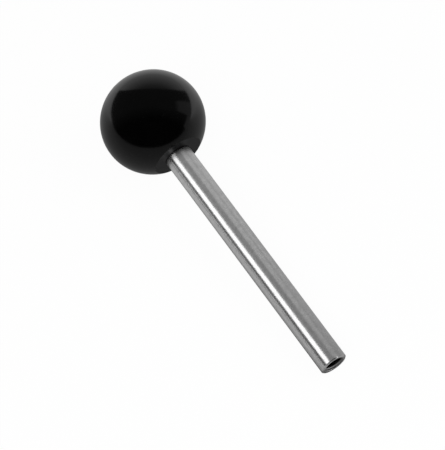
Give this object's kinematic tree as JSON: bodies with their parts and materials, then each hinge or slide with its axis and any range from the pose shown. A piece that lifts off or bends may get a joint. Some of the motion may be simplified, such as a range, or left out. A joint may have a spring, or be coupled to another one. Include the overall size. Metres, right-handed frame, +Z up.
{
  "type": "ball knob hand lever",
  "caption": "Hand lever: black moulded ball knob with a flat, screwed to a straight round steel shank with a tapped hole in its free end.",
  "frame": {"origin": "centre of the face of the shank's free, tapped end", "axes": "+Y along the shank from the tapped end to the ball's crown, +Z up as it lies, +X to the right"},
  "size_m": [0.0476, 0.1643, 0.0476],
  "materials": {
    "phenolic": "glossy black, moulded and polished",
    "shank_steel": "ground stainless bar",
    "stud_steel": "black oxide",
    "brass": "as turned"
  },
  "bodies": {
    "shank": {"shank_rod": "shank_steel", "joining_stud": "stud_steel"},
    "knob": {"ball_knob": "phenolic", "knob_insert": "brass"}
  },
  "joints": [
    {"name": "knob_unscrew", "type": "slide", "parent": "shank", "child": "knob", "axis": [0, 1, 0], "range_m": [0, 0.0165]}
  ]
}
